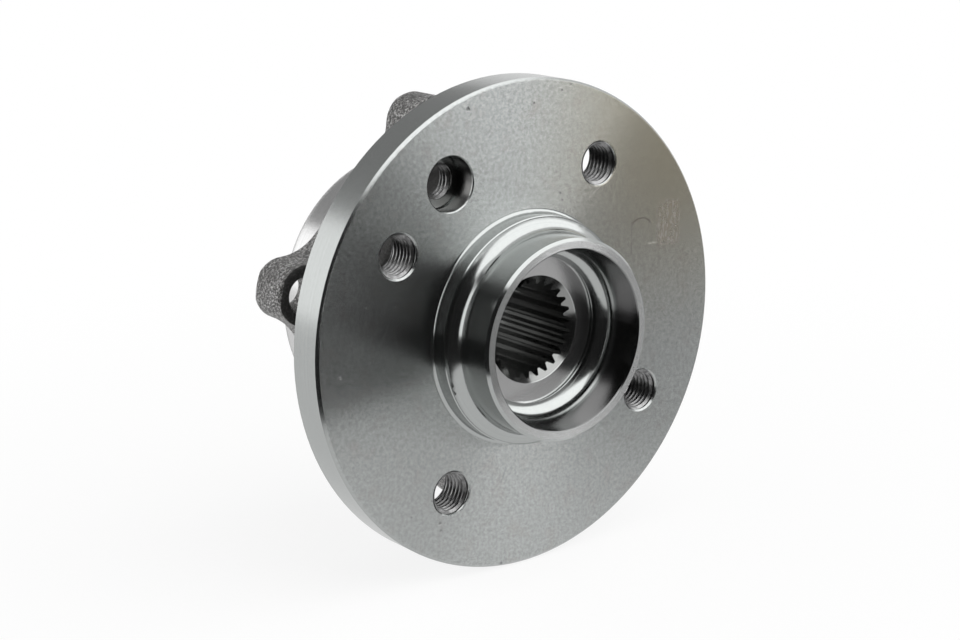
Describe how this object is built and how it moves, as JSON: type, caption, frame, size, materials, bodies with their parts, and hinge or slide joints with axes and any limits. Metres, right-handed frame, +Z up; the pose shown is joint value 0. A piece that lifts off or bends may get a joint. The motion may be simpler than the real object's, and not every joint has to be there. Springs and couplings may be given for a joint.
{
  "type": "wheel hub",
  "caption": "Driven wheel hub unit: drive flange with wheel and disc pilots, tapped bolt holes and a splined bore, turning on ball rows inside a flanged outer ring.",
  "frame": {"origin": "centre of the wheel bolt circle, on the face where the brake disc seats", "axes": "-Y out of the wheel side along the axle, +Y towards the knuckle, +Z up as the unit stands in the picture"},
  "size_m": [0.1375, 0.083, 0.1374],
  "materials": {
    "hub_steel": "turned bare steel, satin on the flange and brighter on the pilots",
    "forged_steel": "dark forged skin, grainy, with machined faces",
    "ring_steel": "ground bearing steel",
    "ball_steel": "lapped mirror-bright bearing steel",
    "cage_polyamide": "moulded glass-filled polyamide",
    "seal_steel": "pressed sheet steel",
    "slinger_steel": "pressed stainless sheet",
    "seal_rubber": "moulded black rubber",
    "encoder_rubber": "moulded magnetic rubber"
  },
  "bodies": {
    "outer_ring": {"outer_ring": "forged_steel", "outboard_seal_case": "seal_steel", "outboard_seal_lips": "seal_rubber", "inboard_seal_case": "seal_steel", "inboard_seal_lips": "seal_rubber"},
    "hub": {"drive_flange": "hub_steel", "inner_ring": "ring_steel", "inboard_slinger": "slinger_steel", "encoder_ring": "encoder_rubber"},
    "outboard_row": {"outboard_cage": "cage_polyamide", "outboard_ball_01": "ball_steel", "outboard_ball_02": "ball_steel", "outboard_ball_03": "ball_steel", "outboard_ball_04": "ball_steel", "outboard_ball_05": "ball_steel", "outboard_ball_06": "ball_steel", "outboard_ball_07": "ball_steel", "outboard_ball_08": "ball_steel", "outboard_ball_09": "ball_steel", "outboard_ball_10": "ball_steel", "outboard_ball_11": "ball_steel", "outboard_ball_12": "ball_steel", "outboard_ball_13": "ball_steel"},
    "inboard_row": {"inboard_cage": "cage_polyamide", "inboard_ball_01": "ball_steel", "inboard_ball_02": "ball_steel", "inboard_ball_03": "ball_steel", "inboard_ball_04": "ball_steel", "inboard_ball_05": "ball_steel", "inboard_ball_06": "ball_steel", "inboard_ball_07": "ball_steel", "inboard_ball_08": "ball_steel", "inboard_ball_09": "ball_steel", "inboard_ball_10": "ball_steel", "inboard_ball_11": "ball_steel", "inboard_ball_12": "ball_steel", "inboard_ball_13": "ball_steel"}
  },
  "joints": [
    {"name": "hub_spin", "type": "hinge", "parent": "outer_ring", "child": "hub", "pos_m": [0, 0, 0], "axis": [0, -1, 0], "continuous": true},
    {"name": "outboard_row_spin", "type": "hinge", "parent": "outer_ring", "child": "outboard_row", "pos_m": [0, 0.0268, 0], "axis": [0, -1, 0], "continuous": true},
    {"name": "inboard_row_spin", "type": "hinge", "parent": "outer_ring", "child": "inboard_row", "pos_m": [0, 0.0468, 0], "axis": [0, -1, 0], "continuous": true}
  ],
  "couplings": [
    {"joint": "outboard_row_spin", "follows": "hub_spin", "ratio": 0.4166},
    {"joint": "inboard_row_spin", "follows": "hub_spin", "ratio": 0.4166}
  ]
}
